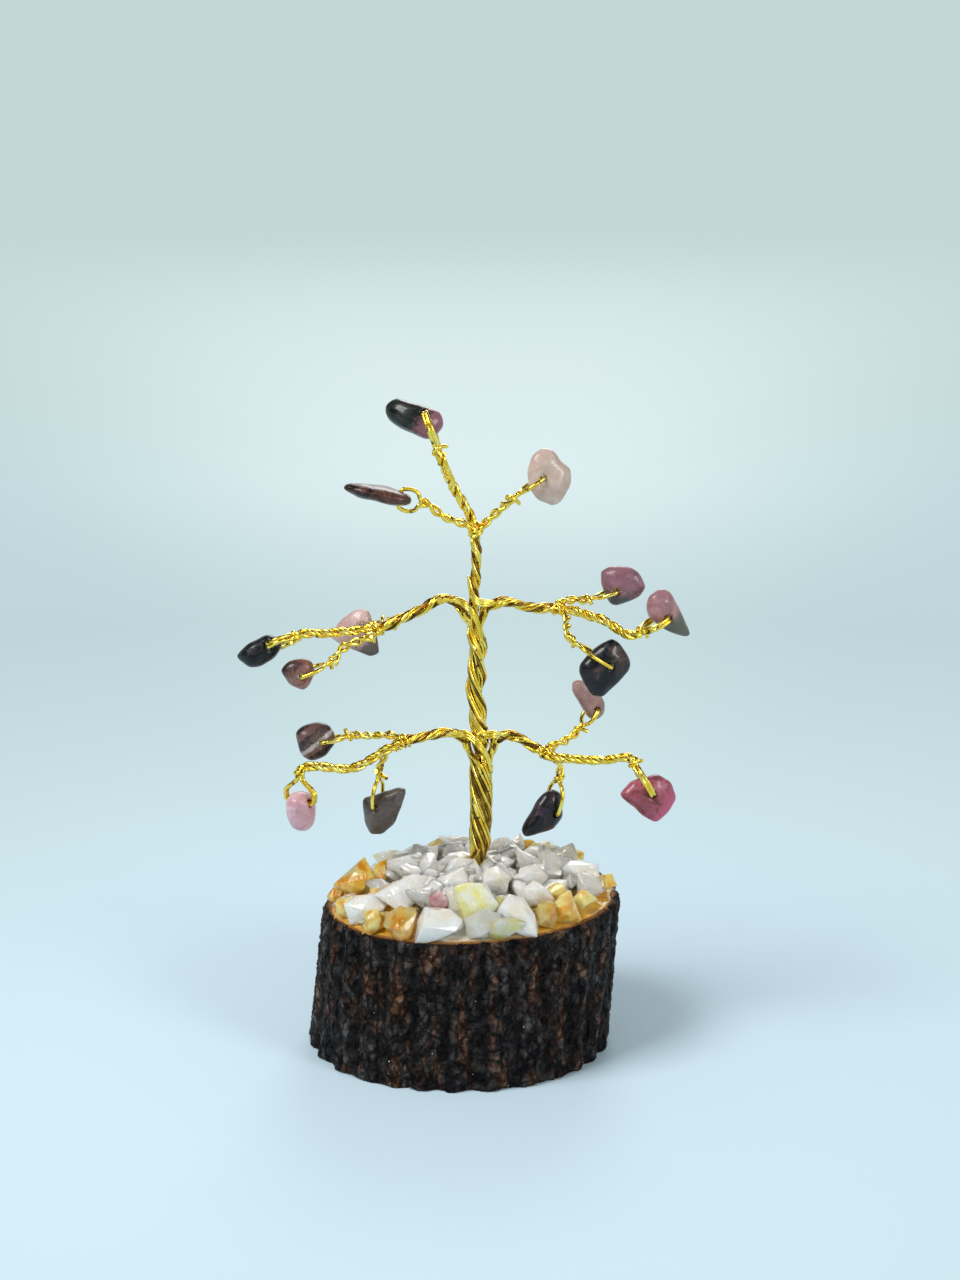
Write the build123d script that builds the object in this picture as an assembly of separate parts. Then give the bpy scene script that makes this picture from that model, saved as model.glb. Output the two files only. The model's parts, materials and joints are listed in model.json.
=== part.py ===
from build123d import *
import os
from math import ceil, cos, hypot, pi, sin, sqrt

# A small gemstone tree: drilled stone chips on twisted wire, planted in a slice of branch wood.
# Millimetres. +Z is up, the tree faces -Y, and the origin is the middle of the underside.

# Wood slice
slice_width = 40.9
slice_depth = 33.4
slice_height = 20.2
slice_taper = 1.1  # how much narrower the sawn top is than the underside
slice_lean = 1.75  # how far the top stands to the right of the underside
top_slope_share = 0.043  # rise of the sawn top for each step to the right
bark_thickness = 1.9
furrow_depth = 0.8
ridge_count = 28
bark_level_shares = [0, 0.3, 0.66, 1]
furrow_spread_share = 0.6  # how much the furrows differ in depth
furrow_wave_count = 5  # waves of deeper furrows round the slice
wander_share = 0.16  # how far a ridge strays sideways, in ridge widths
core_side_count = 24

# Glue bed and gravel
bed_margin = 0.3
bed_rise = 2.0
bed_ring_shares = [1, 0.82, 0.5, 0.25]
bed_side_count = 18
stone_count = 50
stone_radius = 2.1
stone_height = 3.0
stone_field_share = 0.93
stone_ring_shares = [(0, 0.72), (0.4, 1), (1, 0.5)]  # height, size
stone_side_count = 5
stone_spread_share = 0.36  # how much smaller the smallest stones are
stone_chip_share = 0.1  # how unequal the corners of a stone are
stone_slant_share = 0.3  # how far the top of a stone leans over
citrine_reach = 5.2
citrine_spot_shares = [(-0.86, 0.1), (-0.62, -0.62), (0.55, -0.72), (0.92, 0.2), (-0.2, 0.95)]
lemon_reach = 2.6
lemon_spot_shares = [(0.14, -0.42), (0.45, 0.75)]
pink_reach = 1.6
pink_spot_shares = [(-0.16, -0.33)]

# Wire
wire_radius = 0.2
wire_play = 0.06  # room between neighbouring strands
wire_side_count = 5
packing_share = 0.78
groove_share = 0.2
twig_pitch = 3.3
main_twig_pitch = 4.6
branch_pitch = 6.4
trunk_pitch = 19.5
steps_per_turn = 6
seat_gap = 0.12
fit_gap = 0.15
cut_overrun = 1.0

# Trunk, measured up from the sawn top of the slice
trunk_offset = 0.8  # to the right of the middle of the sawn top
trunk_sway = 0.5
socket_depth = 6.0
lower_knuckle_rise = 21.6
upper_knuckle_rise = 39.1
top_fork_rise = 49.6
trunk_strands = 40
middle_strands = 24
branch_strands = 8
main_twig_strands = 4
trunk_ridges = 8
middle_ridges = 7
branch_ridges = 5
knuckle_flare_run = 3.2
fork_flare_run = 2.2

# Crown
branch_reach = 13.0
twig_reach = 14.0
chip_swing_angle = 20  # degrees each way on the wire
swing_sample_shares = [-1.4, -1, -0.7, -0.35, 0, 0.35, 0.7, 1, 1.4]  # a little past the swing
loop_play = 0.22
bore_radius = 0.45
wide_bore_radius = 0.56
chip_ring_shares = [(-0.5, 0.58), (-0.2, 1), (0.2, 1), (0.5, 0.58)]  # height, size

up = Vector(0, 0, 1)
right = Vector(1, 0, 0)
away = Vector(0, 1, 0)


def bundle_radius(strand_count):
    """Outer radius of so many strands twisted together."""
    return wire_radius * sqrt(strand_count / packing_share)


trunk_x = slice_lean + trunk_offset
trunk_radius = bundle_radius(trunk_strands)
middle_radius = bundle_radius(middle_strands)
branch_radius = bundle_radius(branch_strands)
main_twig_radius = bundle_radius(main_twig_strands)
leg_reach = wire_radius + wire_play
twig_spacing = (main_twig_radius + leg_reach + wire_radius + wire_play) / sqrt(3)


def flat_face(*corners):
    """One flat face with straight edges."""
    return Face(Wire.make_polygon(corners, close=True))


def faceted_solid(rings, twisted=False):
    """Flat faces from ring to ring, closed at both ends. A twisted side takes two triangles."""
    faces = [flat_face(*rings[0]), flat_face(*rings[-1])]
    for low, high in zip(rings, rings[1:]):
        for corner in range(len(low)):
            start, end = low[corner - 1], low[corner]
            if twisted:
                faces.append(flat_face(start, end, high[corner]))
                faces.append(flat_face(start, high[corner], high[corner - 1]))
            else:
                faces.append(flat_face(start, end, high[corner], high[corner - 1]))
    return Solid(Shell(faces))


def slice_outline(level, inset, furrow, corner_count):
    """A closed outline round the slice, at a share of its height and some way in from the bark."""
    corners = []
    for step in range(corner_count):
        turn = 2 * pi * step / corner_count
        wave = sin(furrow_wave_count * (turn + level))
        wander = 2 * pi * wander_share * wave / ridge_count if furrow else 0
        depth = inset + furrow * (step % 2) * (1 - furrow_spread_share * (1 + wave) / 2)
        top_wide = (slice_width - slice_taper) / 2 - depth
        wide = (slice_width - slice_taper * level) / 2 - depth
        deep = (slice_depth - slice_taper * level) / 2 - depth
        rise = slice_height + top_slope_share * top_wide * cos(turn + wander)
        x = slice_lean * level + wide * cos(turn + wander)
        corners.append(Vector(x, deep * sin(turn + wander), level * rise))
    return corners


def wood_blank():
    """The sawn wood inside the bark."""
    rings = [slice_outline(level, bark_thickness, 0, core_side_count) for level in (0, 1)]
    return faceted_solid(rings, twisted=True)


def make_wood_core():
    """The sawn wood with the blind hole that takes the foot of the trunk."""
    socket_floor = slice_height - socket_depth
    socket_radius = trunk_radius + fit_gap
    socket_height = socket_depth + top_slope_share * trunk_x + cut_overrun
    socket = Cylinder(socket_radius, socket_height, align=(Align.CENTER, Align.CENTER, Align.MIN))
    return wood_blank() - Pos(trunk_x, 0, socket_floor) * socket


def make_bark():
    """A furrowed skin all round the wood, open at the sawn top and the underside."""
    rings = [slice_outline(level, 0, furrow_depth, 2 * ridge_count) for level in bark_level_shares]
    return faceted_solid(rings, twisted=True) - wood_blank()


bed_wide = (slice_width - slice_taper) / 2 - bark_thickness - bed_margin
bed_deep = (slice_depth - slice_taper) / 2 - bark_thickness - bed_margin


def bed_point(x_share, y_share):
    """A point on the rounded top of the glue, for shares of its half width and half depth."""
    x = bed_wide * x_share
    swell = bed_rise * (1 - x_share**2 - y_share**2)
    return Vector(slice_lean + x, bed_deep * y_share, slice_height + top_slope_share * x + swell)


def bed_normal(x_share, y_share):
    """The direction square to the glue at that point."""
    lean_x = 2 * bed_rise * x_share / bed_wide - top_slope_share
    return Vector(lean_x, 2 * bed_rise * y_share / bed_deep, 1).normalized()


def make_glue_bed():
    """The low mound of glue that holds the gravel and the trunk."""
    rings = []
    for share in bed_ring_shares:
        turns = [2 * pi * step / bed_side_count for step in range(bed_side_count)]
        rings.append([bed_point(share * cos(turn), share * sin(turn)) for turn in turns])
    passage = Cylinder(trunk_radius + fit_gap, 2 * (bed_rise + cut_overrun))
    return faceted_solid(rings) - Pos(trunk_x, 0, slice_height) * passage


def make_stone(index, x_share, y_share):
    """One splinter of tumbled gravel, flat side down on the glue."""
    radius = stone_radius * (1 - stone_spread_share * (index * 5 % 7) / 7)
    height = stone_height * (1 - stone_spread_share * (index * 3 % 5) / 5)
    normal = bed_normal(x_share, y_share)
    seat = bed_point(x_share, y_share) + normal * seat_gap
    ground = Plane(seat, x_dir=(cos(index), sin(index), 0), z_dir=normal)
    rings = []
    for height_share, size_share in stone_ring_shares:
        ring = []
        for corner in range(stone_side_count):
            turn = 2 * pi * corner / stone_side_count
            length = radius * size_share * (1 - stone_chip_share * ((index + corner * corner) % 3))
            x = length * cos(turn) + radius * stone_slant_share * height_share
            ring.append(ground.from_local_coords((x, length * sin(turn), height * height_share)))
        rings.append(ring)
    return faceted_solid(rings)


def near_spot(x_share, y_share, spots, reach):
    """Whether a stone lies within reach of one of the named spots."""
    for spot_x, spot_y in spots:
        if hypot((x_share - spot_x) * bed_wide, (y_share - spot_y) * bed_deep) < reach:
            return True
    return False


def make_gravel():
    """Stones in a sunflower spiral, sorted by kind, leaving room for the trunk."""
    kinds = {
        "clear_quartz_gravel": [],
        "citrine_gravel": [],
        "lemon_quartz_gravel": [],
        "pink_gravel_chip": [],
    }
    trunk_share = trunk_offset / bed_wide
    keep_out = trunk_radius + stone_radius + fit_gap
    for index in range(stone_count):
        out = stone_field_share * sqrt((index + 0.5) / stone_count)
        turn = index * pi * (3 - sqrt(5))
        x_share, y_share = out * cos(turn), out * sin(turn)
        if near_spot(x_share, y_share, [(trunk_share, 0)], keep_out):
            continue
        kind = "clear_quartz_gravel"
        if near_spot(x_share, y_share, citrine_spot_shares, citrine_reach):
            kind = "citrine_gravel"
        if near_spot(x_share, y_share, lemon_spot_shares, lemon_reach):
            kind = "lemon_quartz_gravel"
        if near_spot(x_share, y_share, pink_spot_shares, pink_reach):
            kind = "pink_gravel_chip"
        kinds[kind].append(make_stone(index, x_share, y_share))
    return {kind: Compound(children=stones) for kind, stones in kinds.items()}


def carried_stations(path, count, side):
    """Points from a path's far end back to its start, each with two directions square to it."""
    stations = []
    for step in range(count + 1):
        heading = path % (1 - step / count)
        side = (side - heading * side.dot(heading)).normalized()
        stations.append((path @ (1 - step / count), side, heading.cross(side)))
    return stations


def twisted_bundle(path, side, strand_count, ridge_count, pitch, head, flare_run):
    """A bundle of twisted strands as one ridged rope, spread at its head where others leave it."""
    radius = bundle_radius(strand_count)
    head_wide, head_deep = head
    ring_count = ceil(2 * ridge_count * path.length / pitch)
    rings = []
    for step, (point, side_way, across_way) in enumerate(carried_stations(path, ring_count, side)):
        swell = max(0, 1 - step * path.length / ring_count / flare_run) ** 2
        wide = radius + (head_wide - radius) * swell
        deep = radius + (head_deep - radius) * swell
        ring = []
        for corner in range(2 * ridge_count):
            turn = pi * (corner + step + 1) / ridge_count
            size = 1 - groove_share * (corner % 2)
            outward = side_way * (wide * cos(turn)) + across_way * (deep * sin(turn))
            ring.append(point + outward * size)
        rings.append(ring)
    return faceted_solid(rings, twisted=True)


def round_wire(points):
    """One wire along straight runs, mitred where they meet."""
    start = Plane(origin=points[0], z_dir=points[1] - points[0])
    section = start * RegularPolygon(wire_radius, wire_side_count)
    return sweep(section, path=Polyline(*points), transition=Transition.RIGHT)


def trunk_point(sway_share, rise):
    """A point on the slightly wavy middle line of the trunk, measured from the sawn top."""
    return Vector(trunk_x + trunk_sway * sway_share, 0, slice_height + rise)


# Shares of the trunk's sway, and of the height of the stretch they belong to
trunk_line_shares = [(0, 0), (0, 0.28), (0.9, 0.64), (0.7, 1)]
middle_line_shares = [(0.7, 0), (-0.6, 0.4), (0, 0.7), (-1, 1)]
top_line_shares = [(-1, 0), (-0.8, 0.3), (-0.3, 0.7), (-0.5, 1)]


def trunk_stretch(line_shares, low_rise, high_rise):
    """The middle line of one stretch of trunk, upright at both ends."""
    height = high_rise - low_rise
    points = [trunk_point(sway, low_rise + height * share) for sway, share in line_shares]
    return Spline(*points, tangents=(up, up))


lower_line = trunk_stretch(trunk_line_shares, -socket_depth, lower_knuckle_rise)
middle_line = trunk_stretch(middle_line_shares, lower_knuckle_rise, upper_knuckle_rise)
top_line = trunk_stretch(top_line_shares, upper_knuckle_rise, top_fork_rise)
fork_head = (twig_spacing + main_twig_radius, twig_spacing + main_twig_radius)


def make_trunk():
    """Three stretches of trunk, each spread at its head to seat what grows from it."""
    lower_head = (middle_radius + 2 * branch_radius + wire_play, trunk_radius)
    upper_head = (3 * branch_radius + wire_play, middle_radius)
    return {
        "trunk_lower": twisted_bundle(
            lower_line, right, trunk_strands, trunk_ridges, trunk_pitch, lower_head, knuckle_flare_run
        ),
        "trunk_middle": twisted_bundle(
            middle_line, right, middle_strands, middle_ridges, trunk_pitch, upper_head, knuckle_flare_run
        ),
        "trunk_top": twisted_bundle(
            top_line, right, branch_strands, branch_ridges, branch_pitch, fork_head, fork_flare_run
        ),
    }


# Each branch leaves a knuckle of the trunk beside the stretch that goes on up. place_shares are
# its bends and its fork, from the knuckle in shares of branch_reach; heading is its way at the fork.
branch_plans = {
    "upper_left": dict(
        trunk_line=middle_line, beside=branch_radius, way=-1, heading=(-1, -0.1, -0.3),
        place_shares=[(-0.22, -0.02, 0.12), (-0.59, -0.09, 0), (-0.96, -0.15, -0.15)],
    ),
    "upper_right": dict(
        trunk_line=middle_line, beside=branch_radius, way=1, heading=(1, 0.05, 0.02),
        place_shares=[(0.24, 0.01, 0.085), (0.55, 0.04, 0.03), (0.85, 0.08, 0.015)],
    ),
    "lower_left": dict(
        trunk_line=lower_line, beside=middle_radius, way=-1, heading=(-1, -0.1, -0.1),
        place_shares=[(-0.27, -0.02, 0.1), (-0.53, -0.07, 0.08), (-0.8, -0.115, 0.04)],
    ),
    "lower_right": dict(
        trunk_line=lower_line, beside=middle_radius, way=1, heading=(1, -0.1, -0.15),
        place_shares=[(0.26, -0.02, 0.07), (0.65, -0.08, -0.08)],
    ),
}


def branch_line(plan):
    """The middle line of one branch, from its seat on the knuckle to its fork."""
    knuckle = plan["trunk_line"] @ 1
    seat = knuckle + right * plan["way"] * (plan["beside"] + branch_radius + wire_play)
    places = [knuckle + Vector(*shares) * branch_reach for shares in plan["place_shares"]]
    return Spline(seat, *places, tangents=(up, Vector(*plan["heading"]).normalized()))


fork_lines = {name: branch_line(plan) for name, plan in branch_plans.items()}


def make_branches():
    """Four branches, each of eight strands."""
    branches = {}
    for name in branch_plans:
        branches[name + "_branch"] = twisted_bundle(
            fork_lines[name], away, branch_strands, branch_ridges, branch_pitch, fork_head, fork_flare_run
        )
    return branches


fork_lines["top"] = top_line

# Each chip hangs on its own twig. hole_shares and bend_shares are places from the fork, in
# shares of twig_reach. seat_way is the side of the fork that the twig leaves from, and leave how
# far it leans out that way. tilt_angle, turn_angle and lean_angle set the drilled face: up, to
# the right, and right end down. neck_angle is where the wire comes from, seen square to that
# face, and outline_shares are corners from the hole, in shares of the chip's width and height.
chip_plans = {
    "top_left": dict(
        fork="top", main=True, hole_shares=(-0.43, -0.04, 1.03), bend_shares=[(-0.22, 0, 0.44)],
        seat_way=(-0.5, 0.87, 0), leave=0, tilt_angle=30, turn_angle=-10, lean_angle=0, neck_angle=-72,
        width=7.4, height=4.9, thickness=3.4,
        outline_shares=[
            (0.22, 0.15), (-0.1, 0.3), (-0.49, 0.46), (-0.62, 0.42), (-0.72, 0.23), (-0.69, 0),
            (-0.49, -0.21), (-0.19, -0.42), (-0.02, -0.52), (0.13, -0.51), (0.28, -0.14),
        ],
    ),
    "top_side": dict(
        fork="top", main=False, hole_shares=(-0.68, -0.07, 0.31), bend_shares=[(-0.31, -0.04, 0.15)],
        seat_way=(-0.7, -0.7, 0), leave=0.6, tilt_angle=94, turn_angle=0, lean_angle=12, neck_angle=5,
        width=8.7, height=5.6, thickness=1.7,
        outline_shares=[
            (0.17, 0.1), (0.1, 0.4), (-0.15, 0.52), (-0.5, 0.45), (-0.77, 0.2), (-0.83, -0.05),
            (-0.65, -0.3), (-0.3, -0.46), (0.05, -0.35), (0.17, -0.12),
        ],
    ),
    "top_right": dict(
        fork="top", main=False, hole_shares=(0.59, -0.14, 0.51), bend_shares=[(0.25, -0.07, 0.24)],
        seat_way=(1, 0, 0), leave=0.6, tilt_angle=8, turn_angle=10, lean_angle=0, neck_angle=214,
        width=5.4, height=7.2, thickness=2.4,
        outline_shares=[
            (0.06, 0.52), (-0.18, 0.41), (-0.33, 0.1), (-0.29, -0.15), (-0.11, -0.38), (0.25, -0.49),
            (0.44, -0.42), (0.67, -0.13), (0.69, 0.15), (0.44, 0.27), (0.28, 0.47),
        ],
    ),
    "upper_left_tip": dict(
        fork="upper_left", main=True, hole_shares=(-0.94, -0.07, -0.14),
        bend_shares=[(-0.41, -0.04, -0.02)],
        seat_way=(0, 0, 1), leave=0, tilt_angle=20, turn_angle=-15, lean_angle=0, neck_angle=22,
        width=5.6, height=4.2, thickness=2.6,
        outline_shares=[
            (-0.8, -0.38), (-0.5, 0.1), (-0.15, 0.34), (0.2, 0.3), (0.22, 0), (0.08, -0.3),
            (-0.2, -0.58), (-0.5, -0.66),
        ],
    ),
    "upper_left_front": dict(
        fork="upper_left", main=False, hole_shares=(-0.67, -0.25, -0.36),
        bend_shares=[(-0.3, -0.16, -0.14)],
        seat_way=(0, -0.87, -0.5), leave=0.6, tilt_angle=5, turn_angle=10, lean_angle=0, neck_angle=22,
        width=4.5, height=4.1, thickness=2.3,
        outline_shares=[
            (-0.55, 0.2), (-0.35, 0.42), (0.1, 0.55), (0.34, 0.42), (0.4, 0.1), (0.3, -0.25),
            (0.1, -0.45), (-0.3, -0.28),
        ],
    ),
    "upper_left_back": dict(
        fork="upper_left", main=False, hole_shares=(-0.13, 0.33, -0.045),
        bend_shares=[(0.05, 0.14, 0), (0.16, 0.25, -0.02)],
        seat_way=(0, 1, -0.2), leave=4, tilt_angle=5, turn_angle=-10, lean_angle=0, neck_angle=8,
        width=6.5, height=5.5, thickness=2.0,
        outline_shares=[
            (-0.72, -0.3), (-0.42, 0.15), (-0.14, 0.38), (0.1, 0.38), (0.22, 0), (0.35, -0.65),
            (0.15, -0.73), (-0.32, -0.53),
        ],
    ),
    "upper_right_high": dict(
        fork="upper_right", main=False, hole_shares=(0.54, 0.07, 0.15), bend_shares=[],
        seat_way=(0, 0, 1), leave=0.6, tilt_angle=0, turn_angle=-12, lean_angle=0, neck_angle=200,
        width=5.9, height=5.5, thickness=2.3,
        outline_shares=[
            (-0.4, 0.45), (-0.2, 0.56), (0.2, 0.58), (0.45, 0.42), (0.6, 0.1), (0.48, -0.12),
            (0, -0.36), (-0.14, -0.36), (-0.28, -0.15), (-0.38, 0.15),
        ],
    ),
    "upper_right_tip": dict(
        fork="upper_right", main=True, hole_shares=(0.955, -0.12, -0.06), bend_shares=[(0.36, -0.1, -0.08)],
        seat_way=(0, 0.87, -0.5), leave=0, tilt_angle=5, turn_angle=15, lean_angle=0, neck_angle=208,
        width=5.7, height=6.2, thickness=2.5,
        outline_shares=[
            (-0.09, 0.6), (-0.37, 0.47), (-0.45, 0.24), (-0.37, 0), (-0.03, -0.24), (0.45, -0.43),
            (0.58, -0.42), (0.52, -0.23), (0.27, 0.27), (0.11, 0.53),
        ],
    ),
    "upper_right_low": dict(
        fork="upper_right", main=False, hole_shares=(0.44, -0.36, -0.44), bend_shares=[],
        seat_way=(0, -0.87, -0.5), leave=0.6, tilt_angle=0, turn_angle=8, lean_angle=0, neck_angle=146,
        width=6.8, height=7.7, thickness=2.7,
        outline_shares=[
            (0.04, 0.44), (0.17, 0.38), (0.4, 0.02), (0.37, -0.1), (-0.13, -0.55),
            (-0.36, -0.5), (-0.58, -0.1), (-0.56, 0.02), (-0.28, 0.28),
        ],
    ),
    "lower_left_high": dict(
        fork="lower_left", main=False, hole_shares=(-0.75, 0.18, -0.06), bend_shares=[(-0.3, 0.12, 0.02)],
        seat_way=(0, 0.2, 1), leave=0.6, tilt_angle=10, turn_angle=10, lean_angle=0, neck_angle=10,
        width=5.2, height=5.3, thickness=2.7,
        outline_shares=[
            (-0.6, 0.26), (-0.4, 0.42), (0, 0.48), (0.22, 0.42), (0.36, 0.22), (0.38, -0.05),
            (0.14, -0.36), (-0.25, -0.46), (-0.45, -0.34), (-0.56, 0),
        ],
    ),
    "lower_left_tip": dict(
        fork="lower_left", main=True, hole_shares=(-0.92, -0.11, -0.55),
        bend_shares=[(-0.42, -0.07, -0.23)],
        seat_way=(0, -0.87, -0.5), leave=0, tilt_angle=0, turn_angle=62, lean_angle=0, neck_angle=90,
        width=4.6, height=5.6, thickness=3.3,
        outline_shares=[
            (-0.45, -0.1), (-0.38, 0.14), (0, 0.24), (0.35, 0.16), (0.5, -0.12), (0.36, -0.5),
            (0.1, -0.74), (-0.25, -0.62),
        ],
    ),
    "lower_left_hanging": dict(
        fork="lower_left", main=False, hole_shares=(-0.23, 0.21, -0.7), bend_shares=[],
        seat_way=(0, 0.87, -0.5), leave=0.6, tilt_angle=0, turn_angle=-18, lean_angle=0, neck_angle=86,
        width=6.2, height=7.1, thickness=2.4,
        outline_shares=[
            (-0.3, 0.13), (-0.08, 0.19), (0.52, 0.4), (0.66, 0.38), (0.62, 0.22), (0.38, -0.3),
            (0.13, -0.54), (-0.14, -0.58), (-0.26, -0.4), (-0.32, -0.06),
        ],
    ),
    "lower_right_high": dict(
        fork="lower_right", main=False, hole_shares=(0.46, 0.25, 0.35), bend_shares=[],
        seat_way=(0, 0.3, 1), leave=0.6, tilt_angle=0, turn_angle=20, lean_angle=0, neck_angle=232,
        width=5.0, height=6.8, thickness=2.1,
        outline_shares=[
            (-0.6, 0.58), (-0.3, 0.6), (0, 0.42), (0.28, 0.12), (0.3, -0.12), (0.1, -0.24),
            (-0.15, -0.2), (-0.4, 0.1), (-0.62, 0.38),
        ],
    ),
    "lower_right_tip": dict(
        fork="lower_right", main=True, hole_shares=(0.97, -0.07, -0.36), bend_shares=[(0.5, -0.04, -0.07)],
        seat_way=(0, -0.87, -0.5), leave=0, tilt_angle=0, turn_angle=10, lean_angle=0, neck_angle=120,
        width=7.5, height=6.7, thickness=2.8,
        outline_shares=[
            (-0.54, -0.04), (-0.32, 0.22), (0.1, 0.33), (0.38, 0.17), (0.45, -0.15),
            (0.3, -0.48), (0.1, -0.62), (-0.12, -0.5), (-0.32, -0.25),
        ],
    ),
    "lower_right_hanging": dict(
        fork="lower_right", main=False, hole_shares=(0.07, 0.14, -0.64), bend_shares=[],
        seat_way=(0, 0.87, -0.5), leave=0.6, tilt_angle=0, turn_angle=25, lean_angle=0, neck_angle=78,
        width=5.9, height=6.1, thickness=2.5,
        outline_shares=[
            (0.02, 0.5), (0.2, 0.42), (0.26, -0.1), (0.02, -0.38), (-0.7, -0.48), (-0.74, -0.3),
            (-0.4, 0.2), (-0.2, 0.46),
        ],
    ),
}


def chip_plane(plan):
    """The plane through the middle of a chip, with its origin in the drilled hole."""
    fork = fork_lines[plan["fork"]] @ 1
    hole = fork + Vector(*plan["hole_shares"]) * twig_reach
    face = Rot(0, plan["lean_angle"], 0) * Rot(0, 0, plan["turn_angle"]) * Rot(-plan["tilt_angle"], 0, 0)
    return Plane(Pos(*hole) * face * Plane.XZ.location)


def chip_corners(plan):
    """The corners of a chip's outline, from its hole."""
    return [Vector(x * plan["width"], y * plan["height"]) for x, y in plan["outline_shares"]]


def make_chip(plan):
    """A drilled, tumbled chip: its outline drawn in towards both faces."""
    corners = chip_corners(plan)
    middle = sum(corners, Vector()) / len(corners)
    rings = []
    for height_share, size_share in chip_ring_shares:
        height = Vector(0, 0, plan["thickness"] * height_share)
        rings.append([middle + (corner - middle) * size_share + height for corner in corners])
    radius = wide_bore_radius if plan["main"] else bore_radius
    bore = Cylinder(radius, plan["thickness"] + 2 * cut_overrun)
    return chip_plane(plan) * (faceted_solid(rings) - bore)


def edge_distance(corners, turn):
    """How far a chip's outline lies from its hole in one direction."""
    ray = Vector(cos(turn), sin(turn))
    distances = []
    for start, end in zip(corners, corners[1:] + corners[:1]):
        edge = end - start
        slant = ray.X * edge.Y - ray.Y * edge.X
        if slant == 0:
            continue
        out = (start.X * edge.Y - start.Y * edge.X) / slant
        along = (start.X * ray.Y - start.Y * ray.X) / slant
        if out > 0 and 0 <= along <= 1:
            distances.append(out)
    return max(distances)


def neck_direction(plan):
    """The direction from the hole to the neck of the wire loop, in the chip's own plane."""
    turn = plan["neck_angle"] * pi / 180
    return Vector(cos(turn), sin(turn))


def loop_shape(plan):
    """How far out the loop's shoulder and neck lie, and how far its legs stand from the middle."""
    corners = chip_corners(plan)
    turns = [plan["neck_angle"] + chip_swing_angle * share for share in swing_sample_shares]
    reach = max(edge_distance(corners, turn * pi / 180) for turn in turns)
    leg_height = plan["thickness"] / 2 + wire_radius + loop_play
    shoulder = reach + wire_radius + loop_play
    return shoulder, shoulder + leg_height - leg_reach, leg_height


def loop_points(plan, lateral):
    """The wire's way from the neck through the hole and back, seen along the chip."""
    shoulder, neck, leg_height = loop_shape(plan)
    plane = chip_plane(plan)
    outward = neck_direction(plan)
    sideways = Vector(-outward.Y, outward.X) * lateral
    corner_cut = 2 * wire_radius
    half = [(shoulder, leg_height), (corner_cut, leg_height), (0, leg_height - corner_cut)]
    if lateral:
        half = [(neck, leg_reach - wire_play / 2), (neck - wire_radius, leg_reach - wire_play / 2)] + half
    profile = half + [(out, -height) for out, height in reversed(half)]
    places = [outward * out + sideways + Vector(0, 0, height) for out, height in profile]
    return [plane.from_local_coords(place) for place in places]


def twig_line(plan):
    """The middle line of a twig, from its seat on the fork to the neck of its loop."""
    fork_line = fork_lines[plan["fork"]]
    fork = fork_line @ 1
    heading = fork_line % 1
    seat_way = Vector(*plan["seat_way"])
    seat_way = (seat_way - heading * seat_way.dot(heading)).normalized()
    leaving = (heading + seat_way * plan["leave"]).normalized()
    dip = (leg_reach + wire_radius) * leaving.dot(seat_way)
    gap = 0 if plan["main"] else seat_gap + dip
    seat = fork + seat_way * twig_spacing + heading * gap
    bends = [fork + Vector(*shares) * twig_reach for shares in plan["bend_shares"]]
    plane = chip_plane(plan)
    neck = loop_shape(plan)[1]
    neck_point = plane.from_local_coords(neck_direction(plan) * neck)
    homeward = (plane.origin - neck_point).normalized()
    return Spline(seat, *bends, neck_point, tangents=(leaving, homeward))


def make_thin_twig(plan):
    """One wire: twisted out along the twig, through the chip and back round itself."""
    line = twig_line(plan)
    turn_count = line.length / twig_pitch
    step_count = ceil(turn_count * steps_per_turn)
    legs = ([], [])
    stations = carried_stations(line, step_count, chip_plane(plan).z_dir)
    for step, (point, side, across) in enumerate(stations):
        turn = 2 * pi * turn_count * step / step_count
        offset = side * (leg_reach * cos(turn)) + across * (leg_reach * sin(turn))
        legs[0].append(point + offset)
        legs[1].append(point - offset)
    return round_wire(legs[0][::-1] + loop_points(plan, 0) + legs[1])


def make_main_twig(plan):
    """Two wires twisted into a four-strand twig, ending in a doubled loop through the chip."""
    side = chip_plane(plan).z_dir
    head = (main_twig_radius, main_twig_radius)
    strands = main_twig_strands
    rope = twisted_bundle(twig_line(plan), side, strands, strands, main_twig_pitch, head, fork_flare_run)
    loops = [round_wire(loop_points(plan, way * (wire_radius + wire_play / 2))) for way in (-1, 1)]
    return Compound(children=[rope, *[loop.solid() for loop in loops]])


def make_crown():
    """Fifteen twigs, each with its chip."""
    pieces = {}
    for name, plan in chip_plans.items():
        pieces[name + "_wire"] = make_main_twig(plan) if plan["main"] else make_thin_twig(plan)
        pieces[name + "_chip"] = make_chip(plan)
    return pieces


pieces = {"bark": make_bark(), "wood_core": make_wood_core(), "glue_bed": make_glue_bed()}
pieces |= make_gravel() | make_trunk() | make_branches() | make_crown()

os.makedirs("parts", exist_ok=True)
for name, piece in pieces.items():
    piece.label = name
    export_step(piece, "parts/" + name + ".step")
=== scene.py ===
import json
import random
from math import ceil, cos, hypot, pi, radians, sin, sqrt

import bmesh
import bpy
from mathutils import Matrix, Vector, noise
from mathutils.bvhtree import BVHTree


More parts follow.
